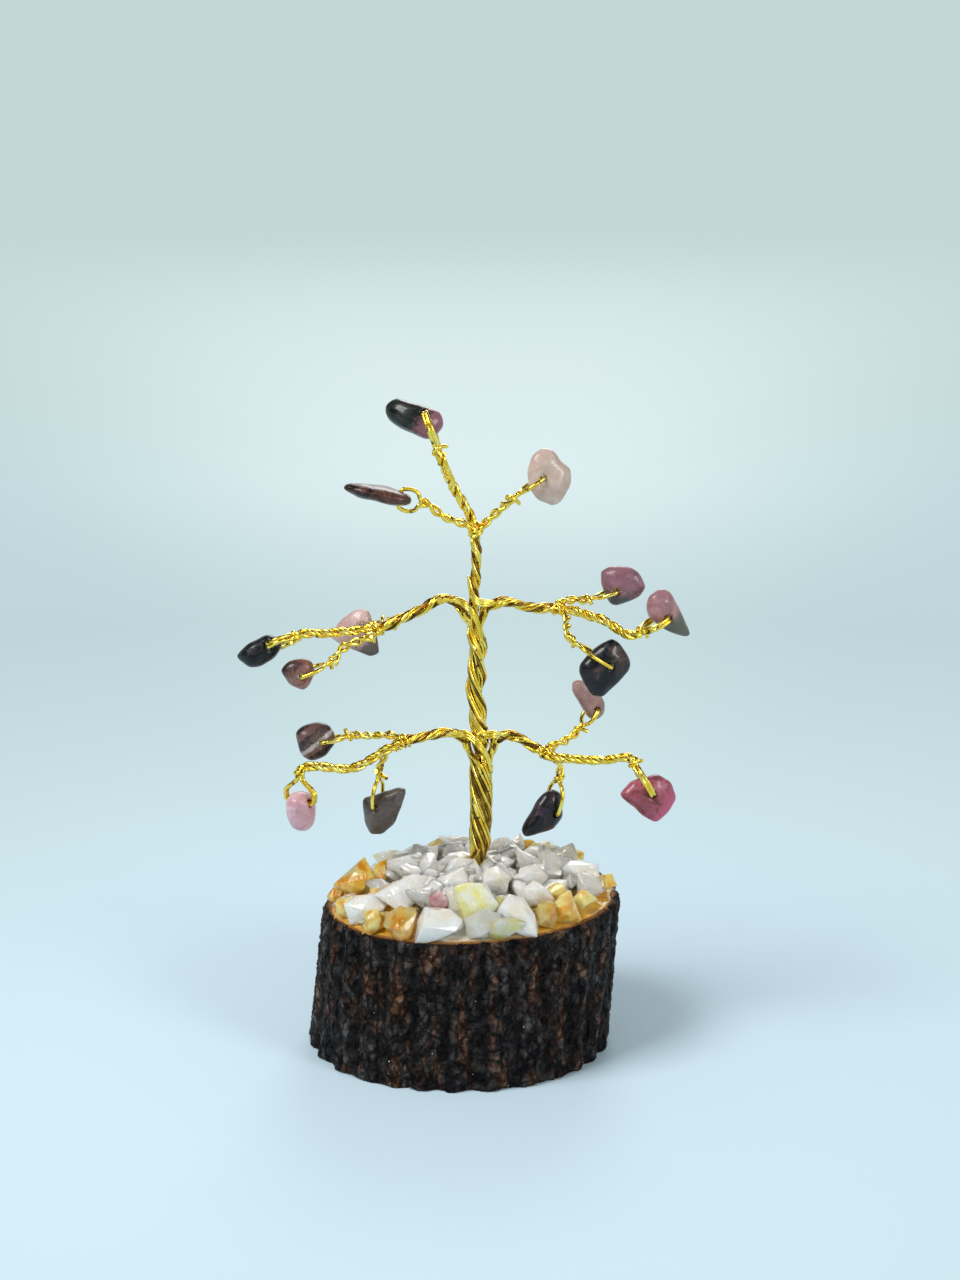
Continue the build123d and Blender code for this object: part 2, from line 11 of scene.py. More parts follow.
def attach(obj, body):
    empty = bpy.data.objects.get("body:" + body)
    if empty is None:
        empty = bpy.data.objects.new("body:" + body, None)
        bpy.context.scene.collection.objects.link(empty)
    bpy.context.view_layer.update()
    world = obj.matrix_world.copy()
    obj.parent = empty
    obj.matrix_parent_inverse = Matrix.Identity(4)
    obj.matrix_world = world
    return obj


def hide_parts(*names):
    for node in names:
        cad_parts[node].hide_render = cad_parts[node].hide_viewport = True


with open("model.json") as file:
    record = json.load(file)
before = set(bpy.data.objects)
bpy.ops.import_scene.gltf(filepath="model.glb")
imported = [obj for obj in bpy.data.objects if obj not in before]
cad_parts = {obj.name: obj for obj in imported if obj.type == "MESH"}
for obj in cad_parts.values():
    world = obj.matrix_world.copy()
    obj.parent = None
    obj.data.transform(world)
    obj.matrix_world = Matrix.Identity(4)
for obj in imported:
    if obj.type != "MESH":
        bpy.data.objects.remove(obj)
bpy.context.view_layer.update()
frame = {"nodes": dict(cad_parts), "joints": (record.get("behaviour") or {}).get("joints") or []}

# Table and light
# The tree stands on a smooth pale table in a bright room, seen from a little above.
# One broad soft lamp hangs over it at the left, and weaker ones fill in from the right and behind.
mm = 0.001
table_half = 6
aim = Vector((2.85, 0, 55.5)) * mm
camera_distance = 260 * mm
camera_pitch = radians(15)
camera = bpy.data.objects.new("camera", bpy.data.cameras.new("camera"))
camera.data.lens = 57.04
camera.data.sensor_width = 36
camera.data.clip_start = 1 * mm
camera.location = aim + Vector((0, -cos(camera_pitch), sin(camera_pitch))) * camera_distance
camera.rotation_euler = (pi / 2 - camera_pitch, 0, 0)
bpy.context.collection.objects.link(camera)
bpy.context.scene.camera = camera
bpy.context.scene.view_settings.view_transform = "Standard"


class Shade:
    """A shader socket on which sums and products can be written."""

    def __init__(self, tree, socket):
        self.tree, self.socket = tree, socket

    def node(self, kind, settings, inputs, output=0):
        """Adds any node with its settings, then its inputs as values or links."""
        node = self.tree.nodes.new(kind)
        for key, value in settings.items():
            if key == "stops":
                ramp = node.color_ramp
                while len(ramp.elements) < len(value):
                    ramp.elements.new(0.5)
                for element, (place, colour) in zip(ramp.elements, value):
                    element.position = place
                    element.color = (*colour, 1)
            else:
                setattr(node, key, value)
        for key, value in inputs.items():
            if isinstance(value, Shade):
                self.tree.links.new(value.socket, node.inputs[key])
            elif isinstance(value, tuple) and len(value) == 3 and node.inputs[key].type == "RGBA":
                node.inputs[key].default_value = (*value, 1)
            else:
                node.inputs[key].default_value = value
        return Shade(self.tree, node.outputs[output])

    def maths(self, operation, *values):
        return self.node("ShaderNodeMath", {"operation": operation}, dict(enumerate(values)))

    def vector(self, operation, other=(0, 0, 0), output=0):
        """Vector maths between this and a fixed vector."""
        return self.node("ShaderNodeVectorMath", {"operation": operation}, {0: self, 1: tuple(other)}, output)

    def __add__(self, other):
        return self.maths("ADD", self, other)

    def __sub__(self, other):
        return self.maths("SUBTRACT", self, other)

    def __rsub__(self, other):
        return self.maths("SUBTRACT", other, self)

    def __mul__(self, other):
        return self.maths("MULTIPLY", self, other)

    def __truediv__(self, other):
        return self.maths("DIVIDE", self, other)

    __radd__ = __add__
    __rmul__ = __mul__

    def step(self, low, high):
        """0 below low, 1 above high, and smooth between them."""
        settings = {"interpolation_type": "SMOOTHSTEP"}
        return self.node("ShaderNodeMapRange", settings, {"Value": self, "From Min": low, "From Max": high})

    def along(self, way, start=(0, 0, 0)):
        """Distance along a direction from a starting place."""
        return self.vector("SUBTRACT", start).vector("DOT_PRODUCT", way, output=1)

    def length(self, scale=(1, 1, 1), start=(0, 0, 0)):
        """Distance from a starting place, with its directions scaled."""
        return self.vector("SUBTRACT", start).vector("MULTIPLY", scale).vector("LENGTH", output=1)

    def noise(self, size, detail=3, roughness=0.5, distortion=0.0, stretch=(1, 1, 1)):
        """Soft noise whose blotches are about size millimetres across, drawn out by stretch."""
        place = self.vector("MULTIPLY", stretch)
        values = {"Vector": place, "Scale": 1 / (size * mm), "Detail": detail, "Roughness": roughness}
        return self.node("ShaderNodeTexNoise", {}, {**values, "Distortion": distortion})

    def grains(self, size, feature="F1", stretch=(1, 1, 1)):
        """Distance to scattered points about size millimetres apart, or to the edges between them."""
        values = {"Vector": self.vector("MULTIPLY", stretch), "Scale": 1 / (size * mm)}
        return self.node("ShaderNodeTexVoronoi", {"feature": feature}, values)

    def colours(self, *stops):
        return self.node("ShaderNodeValToRGB", {"stops": stops}, {"Fac": self})

    def mix(self, first, second):
        """First colour where this is 0, second where it is 1."""
        inputs = {"Factor": self, 6: first, 7: second}
        return self.node("ShaderNodeMix", {"data_type": "RGBA"}, inputs, output=2)

    def bump(self, depth):
        """A surface normal raised by this height, in millimetres."""
        return self.node("ShaderNodeBump", {}, {"Height": self, "Distance": depth * mm})


def new_material(name):
    """An empty material, with the shader's own place coordinates and its output."""
    material = bpy.data.materials.new(name)
    material.use_nodes = True
    tree = material.node_tree
    tree.nodes.clear()
    output = tree.nodes.new("ShaderNodeOutputMaterial")
    place = Shade(tree, tree.nodes.new("ShaderNodeTexCoord").outputs["Object"])
    return material, place, output.inputs["Surface"]


def finish_material(surface, **values):
    """Ends a material in one Principled shader with the given sockets."""
    names = {key: key.replace("_", " ") for key in values}
    place = next(iter(value for value in values.values() if isinstance(value, Shade)))
    shader = place.node("ShaderNodeBsdfPrincipled", {}, {names[key]: value for key, value in values.items()})
    shader.tree.links.new(shader.socket, surface)


room_colour = (0.546, 0.679, 0.672)
table = bpy.data.meshes.new("table")
corners = [Vector((x, y, 0)) * table_half for x, y in ((-1, -1), (1, -1), (1, 1), (-1, 1))]
table.from_pydata(corners, [], [(0, 1, 2, 3)])
material, place, surface = new_material("table_top")
distance = place.length()
# Near the tree the lamps light the table. Further off it shows the room's colours, which are
# spread over the logarithm of the distance, from 40 mm out to the far end.
near = distance.step(0.03, 0.13)
spread = (distance.maths("LOGARITHM", distance, 10) + 1.4) * (1 / 2.2)
backdrop = spread.colours(
    (0.045, (0.65, 0.83, 0.9)), (0.21, (0.6, 0.77, 0.8)), (0.35, (0.52, 0.67, 0.7)),
    (0.47, (0.54, 0.7, 0.73)), (0.55, (0.54, 0.68, 0.68)), (0.7, room_colour),
)
# A soft patch of light behind the tree, widest far off and gone before the table's end
beside = place.along((1, 0, 0), (0.003, 0, 0)) / distance
patch = (1 - beside.maths("ABSOLUTE", beside).step(0.05, 0.42)) * (1 - distance.step(0.45, 1.8))
backdrop = (patch * (0.15 + 0.4 * distance.step(0.2, 0.42))).mix(backdrop, (0.88, 1.0, 1.0))
lit = place.node("ShaderNodeBsdfDiffuse", {}, {"Color": (0.66, 0.83, 0.93)})
shown = place.node("ShaderNodeEmission", {}, {"Color": backdrop})
blend = place.node("ShaderNodeMixShader", {}, {0: near, 1: lit, 2: shown})
surface.node.id_data.links.new(blend.socket, surface)
table.materials.append(material)
table = bpy.data.objects.new("table", table)
bpy.context.collection.objects.link(table)

world = bpy.data.worlds.new("room")
world.use_nodes = True
bpy.context.scene.world = world
tree = world.node_tree
tree.nodes.clear()
path = tree.nodes.new("ShaderNodeLightPath")
ray_kinds = ("Is Camera Ray", "Is Transmission Ray", "Is Glossy Ray")
straight, through, mirrored = [Shade(tree, path.outputs[kind]) for kind in ray_kinds]
direction = Shade(tree, tree.nodes.new("ShaderNodeTexCoord").outputs["Generated"])
height = direction.along((0, 0, 1))
blotches = direction.node("ShaderNodeTexNoise", {}, {"Vector": direction, "Scale": 1.5, "Detail": 0.0})
windows = blotches.step(0.44, 0.55)
# What polished pieces mirror: bright windows in a dark ceiling. The camera sees the plain room.
ceiling = windows.mix((0.02, 0.02, 0.025), (1.0, 1.0, 1.0))
walls = height.step(-0.02, 0.1).mix(room_colour, ceiling)
room = (straight + through).mix(walls, room_colour)
room = (straight + through + mirrored).mix((0.27, 0.285, 0.29), room)
background = room.node("ShaderNodeBackground", {}, {"Color": room})
tree.links.new(background.socket, tree.nodes.new("ShaderNodeOutputWorld").inputs["Surface"])

# Place, size and power of each lamp
lamps = {
    "key_lamp": ((-260, -160, 420), 200, 1.65),
    "fill_lamp": ((330, -260, 240), 140, 0.6),
    "rim_lamp": ((60, 380, 300), 200, 0.5),
}
for name, (position, size, power) in lamps.items():
    lamp = bpy.data.objects.new(name, bpy.data.lights.new(name, "AREA"))
    lamp.data.size = size * mm
    lamp.data.energy = power
    lamp.location = Vector(position) * mm
    lamp.rotation_euler = (aim - lamp.location).to_track_quat("-Z", "Y").to_euler()
    bpy.context.collection.objects.link(lamp)

# Wood slice
# A short length of branch, sawn across at both ends, with its bark left on. The top is sawn a
# little askew, and the bark is varnished: low upright ridges, nearly black between them with painted
# shade, and reddish-brown on top, brightened on the crests and raised flakes by painted highlight,
# with pale painted glints.
slice_width = 40.9
slice_depth = 33.4
slice_height = 20.2
slice_taper = 1.1
slice_lean = 1.75
top_slope = 0.043
bark_thickness = 1.9
ridge_count = 28
ridge_wander = 0.16
ridge_waves = 5
furrow_depth = 0.8
plate_depth = 0.17
flake_depth = 0.12
crack_depth = 0.2
crack_width = 0.09
grit_depth = 0.05
rim_rounding = 0.3
rim_width = 0.45


def slice_point(level, turn, inset):
    """A point on the slice: its share of the height, its direction and its depth under the bark."""
    wide = (slice_width - slice_taper * level) / 2 - inset
    deep = (slice_depth - slice_taper * level) / 2 - inset
    rise = slice_height + top_slope * (slice_width - slice_taper) / 2 * cos(turn)
    return Vector((slice_lean * level + wide * cos(turn), deep * sin(turn), level * rise))


def add_piece(name, points, faces, material, body, slot, node, other=None, other_faces=()):
    """A mesh piece, its points in millimetres, on a body, in place of a CAD node."""
    mesh = bpy.data.meshes.new(name)
    mesh.from_pydata([point * mm for point in points], [], faces)
    mesh.polygons.foreach_set("use_smooth", [True] * len(mesh.polygons))
    mesh.materials.append(material)
    if other:
        mesh.materials.append(other)
        mesh.polygons.foreach_set("material_index", other_faces)
    piece = bpy.data.objects.new(name, mesh)
    bpy.context.collection.objects.link(piece)
    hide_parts(node)
    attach(piece, body)


def bark_place(turn, level):
    """Direction and depth of the bark's surface: upright ridges that stray a little, in cracked plates."""
    wave = sin(ridge_waves * (turn + level))
    furrow = furrow_depth * (1 - 0.3 * (1 + wave)) * (0.5 - 0.5 * cos(ridge_count * turn))
    spot = Vector((cos(turn) * 19, sin(turn) * 16, level * 20))
    rough = plate_depth * (0.6 - noise.noise(spot * 0.9)) + flake_depth * (0.6 - noise.noise(spot * 2.3))
    split = abs(noise.noise(Vector((spot.x * 0.5, spot.y * 0.5, spot.z * 0.8))))
    crack = crack_depth * max(0, 1 - split / crack_width)
    inset = furrow + max(0, rough) + crack + grit_depth * (0.6 - noise.noise(spot * 5))
    return turn + 2 * pi * ridge_wander * wave / ridge_count, inset


around_count, up_count, across_count = 900, 140, 6
points, faces = [], []
for row in range(up_count + 1):
    level = row / up_count
    end = min(level, 1 - level) * slice_height
    for step in range(around_count):
        turn, inset = bark_place(2 * pi * step / around_count, level)
        points.append(slice_point(level, turn, inset + rim_rounding * max(0, 1 - end / rim_width) ** 2))
# The sawn rings of bark at the top and at the bottom
for level in (1, 0):
    for row in range(1, across_count + 1):
        share = row / across_count
        for step in range(around_count):
            turn, inset = bark_place(2 * pi * step / around_count, level)
            start = rim_rounding + inset
            points.append(slice_point(level, turn, start + (bark_thickness - start) * share))


def band(low, high):
    """Faces between two rings of points, numbered from these starts."""
    ring = range(around_count)
    return [(low + k, low + (k + 1) % around_count, high + (k + 1) % around_count, high + k) for k in ring]


under_start = (up_count + across_count + 1) * around_count
for row in range(up_count + across_count):
    faces += band(row * around_count, (row + 1) * around_count)
for row in range(across_count - 1):
    faces += band(under_start + (row + 1) * around_count, under_start + row * around_count)
faces += band(under_start, 0)

material, place, surface = new_material("bark")
flake = place.noise(1.25, detail=5, roughness=0.65, stretch=(1, 1, 0.7))
patch = place.noise(2.6, detail=3, roughness=0.6, stretch=(1, 1, 0.5))
crack = place.grains(1.3, "DISTANCE_TO_EDGE", stretch=(1, 1, 0.65)).step(0.02, 0.18)
grit = place.noise(0.18, detail=2)
# The way round the slice, which tells the ridges' crests from the furrows between them
sideways = place.along((1 / 20.1, 0, 0), (0.9 * mm, 0, 0))
inward = place.along((0, 1 / 16.4, 0))
ridge_turn = inward.maths("ARCTAN2", inward, sideways) * ridge_count
crest = 0.5 + 0.5 * ridge_turn.maths("COSINE", ridge_turn)
# Flakes of bark whose own tones vary, also painted lighter where they stand highest, as painted highlight,
# and darker in their hollows, as painted shade
dark = flake.colours((0.38, (0.003, 0.002, 0.002)), (0.52, (0.03, 0.026, 0.026)), (0.7, (0.12, 0.108, 0.105)))
warm = flake.colours((0.38, (0.01, 0.005, 0.003)), (0.52, (0.11, 0.048, 0.025)), (0.7, (0.27, 0.16, 0.1)))
# Reddish-brown patches, the bark's own colour, laid on more strongly along the ridge crests as painted
# highlight
colour = (patch.step(0.49, 0.57) * (0.2 + 0.8 * crest)).mix(dark, warm)
# Painted shade: cracks and the furrows between the ridges are darkened nearly to black
shadow = 0.75 - 0.75 * crack
colour = shadow.maths("MAXIMUM", 0.7 - 1.1 * crest, shadow).mix(colour, (0.002, 0.002, 0.003))
# Painted glints: small pale dots stand for sparkles of light on the varnish
painted_sparkle = 1 - place.grains(1.7).step(0.03, 0.055)
colour = painted_sparkle.mix(colour, (0.75, 0.74, 0.7))
# Where the bark is sawn, at the top and the bottom, its inner layer shows, darker outwards
facing = place.node("ShaderNodeNewGeometry", {}, {}, output="Normal").along((0, 0, 1))
out = place.length((1 / 0.01985, 1 / 0.0161, 0), (slice_lean * mm, 0, 0))
rim = out.colours((0.9, (0.42, 0.25, 0.11)), (0.945, (0.36, 0.15, 0.035)), (0.965, (0.05, 0.02, 0.01)))
sawn = facing.maths("ABSOLUTE", facing).step(0.75, 0.93)
colour = sawn.mix(colour, rim)
relief = flake + crack * 0.6 + grit * 0.3
finish_material(
    surface, Base_Color=colour, Roughness=0.35 + 0.25 * grit, Specular_IOR_Level=0.08,
    Coat_Weight=0.12 * flake.step(0.52, 0.62), Coat_Roughness=0.2, Normal=relief.bump(0.45),
)
add_piece("varnished_bark", points, faces, material, "tree", "bark", "bark")

# The core's own solid is shown, with growth rings that wander and follow its oval
ring_spacing = 0.9
material, place, surface = new_material("sawn_wood")
wander = place.noise(9, detail=3) * 0.0035
radius = place.length((1, 1.22, 0)) + wander
ring = radius.maths("PINGPONG", radius * (1 / (ring_spacing * mm)), 1.0)
pore = place.noise(0.25, detail=2)
colour = (ring * 0.7 + pore * 0.3).colours((0.2, (0.5, 0.29, 0.12)), (0.75, (0.66, 0.43, 0.21)))
finish_material(surface, Base_Color=colour, Roughness=0.6 + 0.2 * pore, Normal=(ring + pore).bump(0.05))
core_materials = frame["nodes"]["wood_core"].data.materials
core_materials.clear()
core_materials.append(material)

# Glue and gravel
# Clear glue was poured on the sawn top, and tumbled splinters of quartz and citrine were heaped
# into it by hand, the amber ones mostly at the sides, with a few pale yellow ones and one pink.
up = Vector((0, 0, 1))
bed_margin = 0.3
bed_rise = 2.0
bed_spread = 1.07
bed_thickness = 0.3
bed_edge = 0.08
edge_drop = 0.4
edge_waver = 0.02
bed_wide = (slice_width - slice_taper) / 2 - bark_thickness - bed_margin
bed_deep = (slice_depth - slice_taper) / 2 - bark_thickness - bed_margin


def bed_point(x_share, y_share):
    """A point on the rounded top of the glue."""
    x = bed_wide * x_share
    swell = bed_rise * max(0, 1 - x_share**2 - y_share**2)
    return Vector((slice_lean + x, bed_deep * y_share, slice_height + top_slope * x + swell))


ring_count, side_count = 40, 180
points, faces = [bed_point(0, 0)], []
for row in range(1, ring_count + 1):
    for step in range(side_count):
        turn = 2 * pi * step / side_count
        waver = 1 + edge_waver * noise.noise(Vector((cos(turn), sin(turn), 0)) * 6)
        share = bed_spread * row / ring_count * waver
        point = bed_point(share * cos(turn), share * sin(turn))
        lump = noise.noise(point * 0.5) * 0.35 + noise.noise(point * 1.6) * 0.12
        thick = max(0, bed_thickness + lump) * (1 - (row / ring_count) ** 6)
        point.z += thick + bed_edge - edge_drop * (row == ring_count)
        points.append(point)
faces += [(0, 1 + k, 1 + (k + 1) % side_count) for k in range(side_count)]
for row in range(ring_count - 1):
    low, high = 1 + row * side_count, 1 + (row + 1) * side_count
    for k in range(side_count):
        after = (k + 1) % side_count
        faces.append((low + k, high + k, high + after, low + after))
material, place, surface = new_material("dried_glue")
# Stained amber at the sides, under the amber stones, and brown where it has run onto the bark
out = place.length((1 / 0.0177, 1 / 0.0139, 0), (slice_lean * mm, 0, 0))
sides = place.along((1, 0, 0), (slice_lean * mm, 0, 0))
amber = sides.maths("ABSOLUTE", sides).step(0.003, 0.009) * out.step(0.55, 0.95)
stain = (out + place.noise(2, detail=3) * 0.25).step(1.12, 1.2)
colour = amber.mix((0.78, 0.74, 0.64), (0.86, 0.5, 0.06))
colour = (stain * 0.7).mix(colour, (0.5, 0.25, 0.06))
finish_material(
    surface, Base_Color=colour, Roughness=0.1, Coat_Weight=0.5, Coat_Roughness=0.05,
    Subsurface_Weight=0.35, Subsurface_Scale=0.001, Normal=place.noise(1.2, detail=2).bump(0.25),
)
add_piece("glue_pool", points, faces, material, "tree", "glue", "glue_bed")


corner_count = 13
corner_rounding = 0.09
golden_turn = pi * (3 - sqrt(5))


def splinter(dice, length, width, height):
    """Points and faces of one broken, tumbled stone, lying along X with its middle at the origin."""
    taper = dice.choice((-1, 1)) * dice.uniform(0.2, 0.75)
    form = bmesh.new()
    for step in range(corner_count):
        turn = step * golden_turn + dice.uniform(-0.3, 0.3)
        level = 1 - 2 * (step + 0.5) / corner_count
        out = sqrt(1 - level**2)
        stretch = dice.uniform(0.6, 1.1)
        x = out * cos(turn) * stretch
        narrow = 1 + taper * x
        side = width / 2 * out * sin(turn) * stretch * narrow
        form.verts.new((length / 2 * x, side, height / 2 * level * stretch * narrow))
    bmesh.ops.convex_hull(form, input=form.verts)
    bmesh.ops.delete(form, geom=[vert for vert in form.verts if not vert.link_faces], context="VERTS")
    edges = form.edges[:]
    bmesh.ops.bevel(
        form, geom=edges, offset=corner_rounding, segments=2, profile=0.6, affect="EDGES", clamp_overlap=True,
    )
    form.verts.index_update()
    points = [vert.co.copy() for vert in form.verts]
    faces = [[vert.index for vert in face.verts] for face in form.faces]
    form.free()
    return points, faces


def stone_material(name, deep, pale, milky, clearness):
    """Glassy stone with milky veils."""
    material, place, surface = new_material(name)
    cloud = place.noise(4.5, detail=1, roughness=0.4)
    veil = place.noise(1.7, detail=2, roughness=0.5, distortion=0.3)
    milk = (cloud * 0.5 + veil * 0.5).step(0.4, 0.6)
    colour = veil.colours((0.35, deep), (0.62, pale))
    colour = milk.mix(colour, milky)
    ripple = place.noise(1.1, detail=2, distortion=0.4)
    finish_material(
        surface, Base_Color=colour, Roughness=0.03 + 0.1 * veil, IOR=1.45,
        Transmission_Weight=clearness, Subsurface_Weight=0.8, Subsurface_Scale=1.5 * mm,
        Subsurface_Radius=(1, 1, 1), Coat_Weight=0.8, Coat_Roughness=0.03, Normal=ripple.bump(0.35),
    )
    return material


# Deep, pale and milky colours of each kind
gravel_colours = {
    "clear_quartz_gravel": ((0.96, 0.86, 0.72), (0.99, 0.95, 0.86), (0.99, 0.98, 0.93)),
    "citrine_gravel": ((0.82, 0.35, 0.01), (0.94, 0.58, 0.06), (0.96, 0.78, 0.32)),
    "lemon_quartz_gravel": ((0.92, 0.86, 0.34), (0.96, 0.93, 0.6), (0.96, 0.96, 0.85)),
    "pink_gravel_chip": ((0.4, 0.16, 0.18), (0.6, 0.3, 0.31), (0.65, 0.42, 0.42)),
}
# Most stones of a kind are milky, and every third stone is clearer
milky_clearness = 0.15
clear_clearness = 0.5
clear_every = 3
gravel_kinds = {}
for kind, colours in gravel_colours.items():
    milky = stone_material(kind + "_milky", *colours, milky_clearness)
    clear = stone_material(kind + "_clear", *colours, clear_clearness)
    gravel_kinds[kind] = (milky, clear)
# Stones that show, by kind: place right and away from the slice's middle, length, width, slant
shown_stones = {
    "clear_quartz_gravel": [
        (-5.1, 3.5, 4.4, 3.2, 10), (-6.9, 0.3, 4.6, 3.2, -10), (-6.7, -6.8, 6.8, 3.4, 25),
        (-4.7, -8.7, 3.6, 2.5, -20), (-0.3, -10.2, 3.3, 2.4, -70), (-2.1, -13.2, 5.6, 4.2, 5),
        (3.4, -13.5, 5.0, 3.4, 8), (7.8, -12.2, 6.2, 4.2, -50), (-0.6, -2.6, 4.8, 2.8, 30),
        (4.3, -2.8, 3.6, 3.4, 60), (-0.3, -6.0, 3.8, 3.0, 0), (4.8, -6.3, 3.8, 3.4, -40),
        (6.5, 2.0, 4.2, 3.2, 20), (5.8, 7.0, 3.4, 2.8, 0), (8.1, 8.5, 3.2, 2.4, 70),
        (12.0, -0.5, 4.6, 3.2, -70), (9.1, -5.0, 4.4, 2.8, 5), (16.2, -1.2, 5.2, 3.9, -30),
        (17.0, -4.5, 3.6, 3.2, 60), (10.3, -9.0, 4.2, 3.0, -15), (-11.4, -7.6, 4.8, 2.9, 15),
        (14.5, 5.0, 3.6, 2.8, 0), (0.2, 8.0, 4.4, 2.8, -10), (-1.6, 4.4, 4.0, 3.0, 35),
    ],
    "citrine_gravel": [
        (-3.2, 9.5, 3.0, 2.0, 10), (-10.4, 0.5, 3.2, 2.4, 80), (-13.3, -0.6, 5.4, 4.0, 10),
        (-16.2, -0.8, 2.4, 2.0, 40), (-14.6, -5.4, 3.8, 3.0, -20), (-10.8, -10.6, 3.4, 3.0, 60),
        (-7.2, -11.8, 4.9, 4.5, 30), (9.6, 9.0, 2.6, 2.0, 0), (15.6, 7.0, 2.8, 2.6, 40),
        (11.4, -10.9, 4.2, 2.9, 80), (13.8, -9.3, 4.6, 3.8, 70), (16.2, -7.2, 3.0, 2.6, 10),
        (18.3, -3.2, 2.6, 2.3, 60), (12.6, -7.3, 2.6, 2.2, 20),
    ],
    "lemon_quartz_gravel": [
        (2.5, -11.2, 6.4, 4.4, 80), (6.0, -14.0, 4.6, 2.6, 8), (-9.4, 6.5, 3.8, 2.4, 5),
        (11.4, 7.4, 4.2, 2.2, 10), (5.6, -11.0, 3.0, 2.4, -40),
    ],
    "pink_gravel_chip": [(-2.4, -10.4, 2.7, 2.4, 75)],
}
pile_foot = 1.5
pile_rise = 3.1
stone_growth = 1.45
citrine_growth = 1.3
# Filling stones under and between them: how many, how high over the glue, how far out
fill_layers = ((60, 0.0, 0.96), (38, 1.4, 0.78), (22, 2.6, 0.56))
fill_foot = 0.7
fill_width_share = 0.6
fill_height_share = 0.42
# Where filling stones are amber, as shares of the bed, and how far round these places
citrine_spots = [(-0.86, 0.1), (-0.62, -0.62), (0.55, -0.72), (0.92, 0.2), (-0.2, 0.95)]
citrine_reach = 3.6
trunk_x = 2.55
trunk_room = 2.6
dice = random.Random(4)
placed = []
for kind, stones in shown_stones.items():
    for x, y, length, width, slant in stones:
        x_share, y_share = (x - slice_lean) / bed_wide, y / bed_deep
        out = min(1, x_share**2 + y_share**2)
        level = slice_height + top_slope * (x - slice_lean)
        middle = Vector((x, y, level + pile_foot + pile_rise * (1 - out**2)))
        lean = Matrix.Rotation(-0.5 + dice.uniform(-0.2, 0.2), 3, "X")
        slope = Matrix.Rotation(-radians(slant), 3, "Y")
        spin = lean @ slope @ Matrix.Rotation(dice.uniform(-0.4, 0.4), 3, "X")
        growth = citrine_growth if kind == "citrine_gravel" else stone_growth
        placed.append((kind, middle, spin, length * growth, width, width * growth))
for stone_count, lift, field in fill_layers:
    for index in range(stone_count):
        out = field * sqrt((index + 0.5) / stone_count)
        turn = index * golden_turn + lift
        x_share = out * cos(turn) + dice.uniform(-0.03, 0.03)
        y_share = out * sin(turn) + dice.uniform(-0.03, 0.03)
        middle = bed_point(x_share, y_share) + up * (fill_foot + lift * (1 - out**3))
        if hypot(middle.x - trunk_x, middle.y) < trunk_room:
            continue
        kind = "clear_quartz_gravel"
        for spot_x, spot_y in citrine_spots:
            if hypot((x_share - spot_x) * bed_wide, (y_share - spot_y) * bed_deep) < citrine_reach:
                kind = "citrine_gravel"
        tilt = Matrix.Rotation(dice.uniform(-0.7, 0.7), 3, "X")
        tilt = tilt @ Matrix.Rotation(dice.uniform(-0.7, 0.7), 3, "Y")
        spin = Matrix.Rotation(dice.uniform(0, 2 * pi), 3, "Z") @ tilt
        size = dice.uniform(4.4, 7.2)
        placed.append((kind, middle, spin, size, size * fill_width_share, size * fill_height_share))
piles = {kind: ([], [], []) for kind in gravel_kinds}
for number, (kind, middle, spin, length, width, height) in enumerate(placed):
    stone_points, stone_faces = splinter(dice, length, width, height)
    pile_points, pile_faces, clear_faces = piles[kind]
    start = len(pile_points)
    pile_points += [middle + spin @ point for point in stone_points]
    pile_faces += [[start + k for k in face] for face in stone_faces]
    clear_faces += [number % clear_every == 0] * len(stone_faces)
for kind, (points, faces, clear_faces) in piles.items():
    milky, clear = gravel_kinds[kind]
    name = kind.replace("_gravel", "_splinters")
    add_piece(name, points, faces, milky, "tree", kind, kind, other=clear, other_faces=clear_faces)

# Trunk
# Forty strands of gold-coloured wire, twisted together by hand and glued into a hole in the wood.
# Eight strands part to each side at the lower knuckle, and eight more to each side at the upper.
right = Vector((1, 0, 0))
strand_radius = 0.2
packed_wire_radius = 0.185
packing_share = 0.78
wire_play = 0.06
branch_radius = strand_radius * sqrt(8 / packing_share)
middle_radius = strand_radius * sqrt(24 / packing_share)
trunk_sway = 0.5
socket_depth = 6.0
lower_knuckle = 21.6
upper_knuckle = 39.1
top_fork = 49.6
trunk_pitch = 19.5
middle_pitch = 13.0
three_ply_radius = 0.62


def route(places, way_in, way_out, spacing=0.25):
    """Close points along a smooth line through some places, with its ways in and out."""
    ways = [Vector(way_in).normalized()]
    for before, spot, after in zip(places, places[1:], places[2:]):
        back, on = spot - before, after - spot
        ways.append((back.normalized() * on.length + on.normalized() * back.length).normalized())
    ways.append(Vector(way_out).normalized())
    line = []
    for start, end, start_way, end_way in zip(places, places[1:], ways, ways[1:]):
        span = (end - start).length
        count = max(2, ceil(span / spacing))
        for step in range(count):
            t = step / count
            line.append(
                start * (2 * t**3 - 3 * t**2 + 1) + end * (3 * t**2 - 2 * t**3)
                + start_way * span * (t**3 - 2 * t**2 + t) + end_way * span * (t**3 - t**2)
            )
    return line + [places[-1]]


def stations(line, side):
    """Each point of a line with its distance from the start and two directions square to it."""
    found, run = [], 0
    for k, point in enumerate(line):
        ahead = (line[min(k + 1, len(line) - 1)] - line[max(k - 1, 0)]).normalized()
        side = (side - ahead * side.dot(ahead)).normalized()
        if k:
            run += (point - line[k - 1]).length
        found.append((run, point, side, ahead.cross(side)))
    return found


def packed(*rings):
    """Places of the strands in a bundle, ring by ring from the middle."""
    places = []
    for count, radius in rings:
        for k in range(count):
            turn = 2 * pi * (k + 0.5 * (count % 2)) / count
            places.append(Vector((radius * cos(turn), radius * sin(turn))))
    return places


def turned(spot, turn):
    """A place in a bundle, turned about its middle."""
    return Vector((spot.x * cos(turn) - spot.y * sin(turn), spot.x * sin(turn) + spot.y * cos(turn)))


def drift(seed, run, size):
    """A small slow drift of one strand, as hand twisting leaves."""
    place = Vector((run * 0.4, seed * 7.3, 0))
    return Vector((noise.noise(place), noise.noise(place + Vector((0, 0, 9))))) * size


